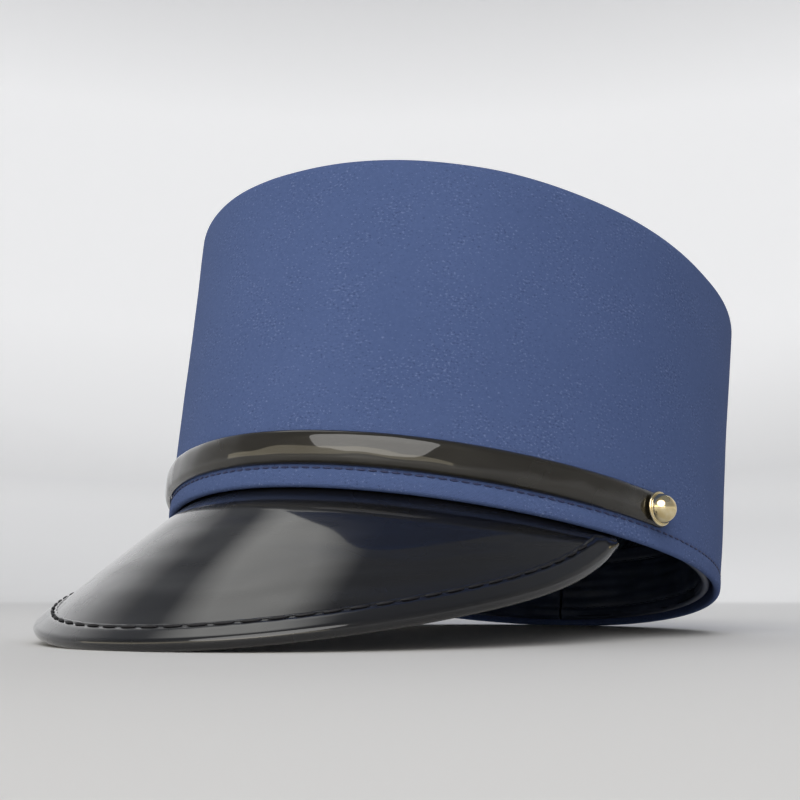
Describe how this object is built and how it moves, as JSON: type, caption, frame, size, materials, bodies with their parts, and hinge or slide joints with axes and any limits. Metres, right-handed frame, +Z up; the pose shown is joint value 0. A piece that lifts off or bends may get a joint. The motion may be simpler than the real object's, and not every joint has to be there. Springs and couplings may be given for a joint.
{
  "type": "doorman hat",
  "caption": "Doorman's hat with a tall oval cloth crown, a glossy bound peak, a strap between two dome buttons, a lining and a sweatband.",
  "frame": {"origin": "middle of the hat's footprint, on the surface that it rests on", "axes": "+Z up, front of the hat towards -Y, the wearer's left towards +X; the crown leans back, as the hat rests on its peak's lip and the back of its rim"},
  "size_m": [0.1848, 0.274, 0.1379],
  "materials": {
    "navy_cloth": "matte fine wool cloth",
    "lining_twill": "dark ribbed twill",
    "top_lining_cloth": "plain dull lining cloth",
    "sweatband_cloth": "dark soft satin, stitched in rows",
    "black_patent": "high-gloss patent",
    "facing_twill": "grey fine twill",
    "gold_button": "polished pale gold"
  },
  "bodies": {
    "root": {"crown_wall": "navy_cloth", "crown_top": "navy_cloth", "wall_lining": "lining_twill", "top_lining": "top_lining_cloth", "sweatband": "sweatband_cloth", "peak": "black_patent", "peak_facing": "facing_twill", "peak_binding": "black_patent", "strap": "black_patent", "button_left": "gold_button", "button_right": "gold_button"}
  },
  "joints": []
}
